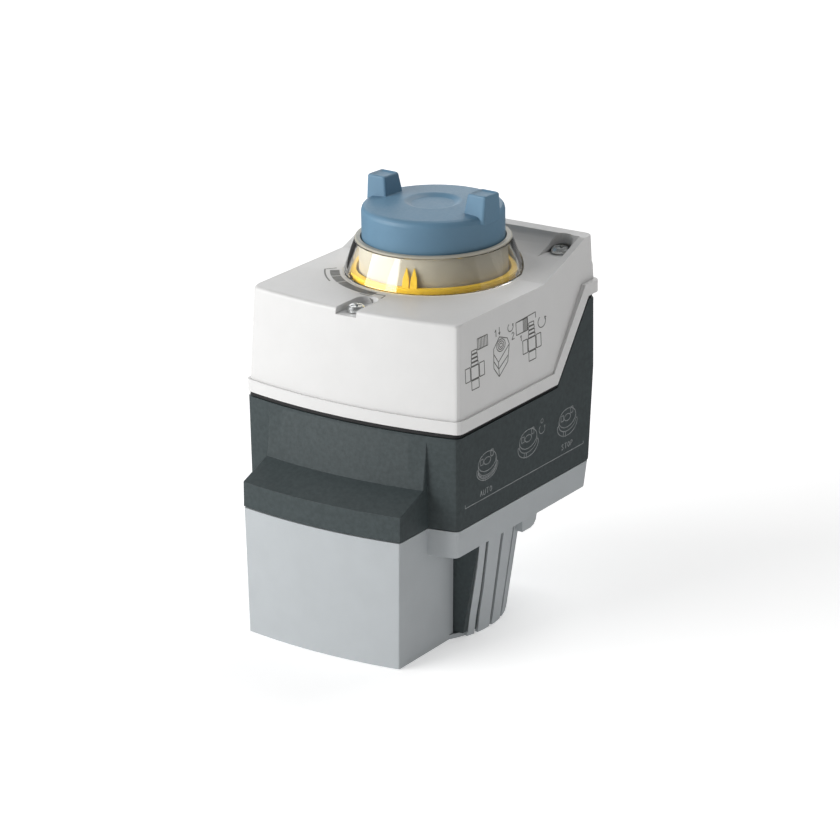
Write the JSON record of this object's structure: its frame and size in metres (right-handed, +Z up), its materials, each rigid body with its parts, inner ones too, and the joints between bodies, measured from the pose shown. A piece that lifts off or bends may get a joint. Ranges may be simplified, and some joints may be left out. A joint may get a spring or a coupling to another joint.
{
  "type": "valve actuator",
  "caption": "Motor-driven actuator head for a lifting-stem valve, with a press-and-turn manual knob, a position indicator and a union nut.",
  "frame": {"origin": "on the axis of the drive stem and the valve neck, in the plane of the undersides of the terminal compartment and the neck shroud", "axes": "+Z up along the stem, away from the valve; -Y towards the terminal compartment; +X to the right when the compartment is at the left"},
  "size_m": [0.08, 0.1008, 0.1343],
  "materials": {
    "white_abs": "smooth satin, very light grey-white",
    "slate_plastic": "fine grained, dark blue-grey",
    "light_grey_plastic": "fine grained, mid grey",
    "blue_plastic": "fine grained, grey-blue",
    "clear_polycarbonate": "clear, polished",
    "beige_plastic": "smooth, light beige",
    "yellow_plastic": "smooth, signal yellow",
    "white_acetal": "moulded, off-white",
    "zinc_steel": "zinc plated, bright",
    "steel_plate": "rolled sheet",
    "cast_alloy": "die-cast, dull",
    "brass": "machined",
    "circuit_laminate": "green solder mask",
    "terminal_plastic": "green, moulded",
    "black_rubber": "dull black",
    "black_plastic": "moulded, black"
  },
  "bodies": {
    "housing": {"top_cover": "white_abs", "cover_seal": "black_rubber", "middle_housing": "slate_plastic", "lower_housing": "light_grey_plastic", "neck_sleeve": "slate_plastic", "indicator_window": "clear_polycarbonate", "knob_guide_collar": "beige_plastic", "knob_spring": "zinc_steel", "idler_axle": "zinc_steel", "motor": "zinc_steel", "lower_gear_plate": "steel_plate", "upper_gear_plate": "steel_plate", "valve_yoke": "cast_alloy", "circuit_board": "circuit_laminate", "board_relay": "black_plastic", "board_capacitor": "steel_plate", "board_connector": "terminal_plastic", "board_cable": "black_plastic", "terminal_block": "terminal_plastic", "entry_plug_left": "light_grey_plastic", "entry_plug_right": "light_grey_plastic", "cover_screw_front": "zinc_steel", "cover_screw_rear_left": "zinc_steel", "cover_screw_rear_right": "zinc_steel", "plate_pillar_1": "zinc_steel", "plate_screw_1": "zinc_steel", "yoke_screw_1": "zinc_steel", "base_screw_1": "zinc_steel", "plate_pillar_2": "zinc_steel", "plate_screw_2": "zinc_steel", "yoke_screw_2": "zinc_steel", "base_screw_2": "zinc_steel", "plate_pillar_3": "zinc_steel", "plate_screw_3": "zinc_steel", "yoke_screw_3": "zinc_steel", "base_screw_3": "zinc_steel", "plate_pillar_4": "zinc_steel", "plate_screw_4": "zinc_steel", "yoke_screw_4": "zinc_steel", "base_screw_4": "zinc_steel"},
    "press_carrier": {"knob_thrust_washer": "steel_plate"},
    "knob": {"manual_knob": "blue_plastic", "knob_shaft": "zinc_steel"},
    "spindle": {"spindle_wheel": "white_acetal"},
    "stem": {"drive_stem": "zinc_steel", "anti_rotation_pin": "zinc_steel", "stem_coupling": "brass"},
    "idler": {"idler_gear": "white_acetal"},
    "motor_rotor": {"motor_pinion": "white_acetal"},
    "manual_gear": {"manual_pinion": "white_acetal"},
    "indicator": {"position_indicator": "yellow_plastic", "indicator_ring_gear": "white_acetal"},
    "union_nut": {"coupling_nut": "brass"}
  },
  "joints": [
    {"name": "spindle_turn", "type": "hinge", "parent": "housing", "child": "spindle", "pos_m": [0, 0, 0.068], "axis": [0, 0, -1], "range_deg": [0, 360]},
    {"name": "stem_stroke", "type": "slide", "parent": "housing", "child": "stem", "axis": [0, 0, -1], "range_m": [0, 0.0055]},
    {"name": "idler_turn", "type": "hinge", "parent": "housing", "child": "idler", "pos_m": [-0.01932, -0.00518, 0.07], "axis": [0, 0, -1], "range_deg": [-1080, 0]},
    {"name": "motor_turn", "type": "hinge", "parent": "housing", "child": "motor_rotor", "pos_m": [-0.02063, 0.00977, 0.074], "axis": [0, 0, -1], "range_deg": [0, 4320]},
    {"name": "manual_pinion_turn", "type": "hinge", "parent": "housing", "child": "manual_gear", "pos_m": [0, 0.021, 0.07], "axis": [0, 0, -1], "range_deg": [-900, 0]},
    {"name": "indicator_turn", "type": "hinge", "parent": "housing", "child": "indicator", "pos_m": [0, 0.021, 0.096], "axis": [0, 0, -1], "range_deg": [0, 72]},
    {"name": "knob_press", "type": "slide", "parent": "housing", "child": "press_carrier", "axis": [0, 0, -1], "range_m": [0, 0.004], "stiffness_N_per_m": 1500, "springref_m": -0.004, "deforming": ["knob_spring"]},
    {"name": "knob_turn", "type": "hinge", "parent": "press_carrier", "child": "knob", "pos_m": [0, 0.021, 0.115], "axis": [0, 0, -1], "range_deg": [-900, 0]},
    {"name": "union_nut_turn", "type": "hinge", "parent": "housing", "child": "union_nut", "pos_m": [0, 0, 0.009], "axis": [0, 0, -1], "continuous": true}
  ],
  "couplings": [
    {"joint": "spindle_turn", "follows": "stem_stroke", "rad_per_m": 1142.4},
    {"joint": "idler_turn", "follows": "stem_stroke", "rad_per_m": -3427.2},
    {"joint": "motor_turn", "follows": "stem_stroke", "rad_per_m": 13709},
    {"joint": "manual_pinion_turn", "follows": "stem_stroke", "rad_per_m": -2856},
    {"joint": "indicator_turn", "follows": "stem_stroke", "rad_per_m": 228.48},
    {"joint": "knob_turn", "follows": "stem_stroke", "rad_per_m": -2856}
  ]
}
